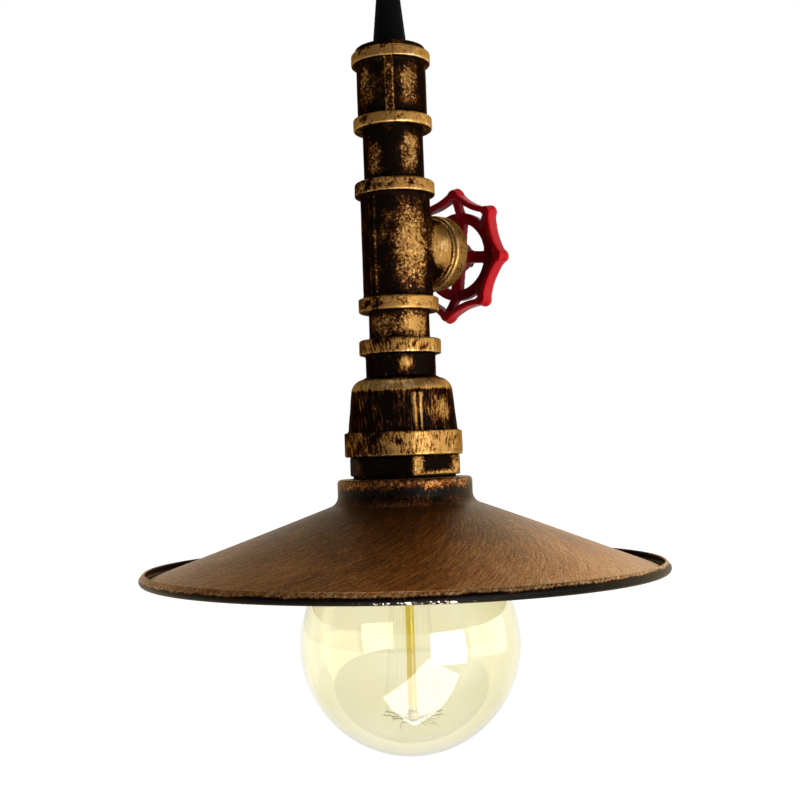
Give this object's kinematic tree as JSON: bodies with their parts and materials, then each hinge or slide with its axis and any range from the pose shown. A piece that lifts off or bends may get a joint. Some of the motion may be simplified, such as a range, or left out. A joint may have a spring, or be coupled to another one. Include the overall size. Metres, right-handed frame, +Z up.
{
  "type": "pipe pendant light",
  "caption": "Pendant light built from bronzed pipe fittings: cord grip, coupling, tee with a red valve handwheel, bell reducer, cone shade and a screw-in amber globe bulb.",
  "frame": {"origin": "centre of the top face of the cord grip, on the lamp's axis", "axes": "+Z up along the lamp's axis, the way the cord leaves; +X along the tee's branch to the handwheel"},
  "size_m": [0.2256, 0.2256, 0.3298],
  "materials": {
    "antique_bronze": "cast, blackened and rubbed back to antique bronze",
    "dark_bronze": "cast, blackened bronze, little rubbed",
    "copper_brown": "spun steel, brushed copper-brown finish",
    "red_paint": "cast, satin red paint",
    "black_nylon": "moulded, matte black",
    "white_nylon": "moulded, white",
    "black_insulator": "black cap glass",
    "packing": "black, soft",
    "zinc_steel": "zinc plated",
    "turned_brass": "turned or pressed, bare",
    "porcelain": "white glazed porcelain",
    "amber_glass": "clear amber glass",
    "stem_glass": "clear amber glass",
    "support_wire": "drawn wire",
    "filament": "drawn wire, dark"
  },
  "bodies": {
    "lamp": {"cord_grip": "black_nylon", "cord_grip_screw": "white_nylon", "cord_grip_locknut": "zinc_steel", "top_plug": "dark_bronze", "pipe_coupling": "antique_bronze", "upper_nipple": "antique_bronze", "tee": "antique_bronze", "bonnet": "dark_bronze", "packing_ring": "packing", "packing_nut": "turned_brass", "lower_nipple": "antique_bronze", "reducer": "antique_bronze", "lock_screw": "zinc_steel", "support_washer": "zinc_steel", "lamp_tube": "zinc_steel", "tube_nuts": "zinc_steel", "hex_nipple": "dark_bronze", "shade_washer": "packing", "shade": "copper_brown", "shade_ring_nut": "turned_brass", "holder_bracket": "zinc_steel", "bracket_screws": "zinc_steel", "lampholder_body": "porcelain", "screw_shell": "turned_brass", "centre_contact": "turned_brass", "terminals": "turned_brass", "terminal_screws": "zinc_steel"},
    "handwheel": {"spindle": "turned_brass", "handwheel": "red_paint", "wheel_washer": "zinc_steel", "wheel_nut": "zinc_steel"},
    "bulb_carriage": {"bulb_contact": "turned_brass"},
    "bulb": {"bulb_cap": "turned_brass", "bulb_cap_insulator": "black_insulator", "bulb_glass": "amber_glass", "bulb_stem": "stem_glass", "bulb_lead_wires": "support_wire", "bulb_anchors": "support_wire", "bulb_filament": "filament"}
  },
  "joints": [
    {"name": "handwheel_turn", "type": "hinge", "parent": "lamp", "child": "handwheel", "pos_m": [0.04, 0, -0.1114], "axis": [1, 0, 0], "continuous": true},
    {"name": "bulb_travel", "type": "slide", "parent": "lamp", "child": "bulb_carriage", "axis": [0, 0, -1], "range_m": [0, 0.0218]},
    {"name": "bulb_turn", "type": "hinge", "parent": "bulb_carriage", "child": "bulb", "pos_m": [0, 0, -0.205], "axis": [0, 0, -1], "range_deg": [0, 2160]}
  ],
  "couplings": [
    {"joint": "bulb_travel", "follows": "bulb_turn", "m_per_rad": 0.00057614}
  ]
}
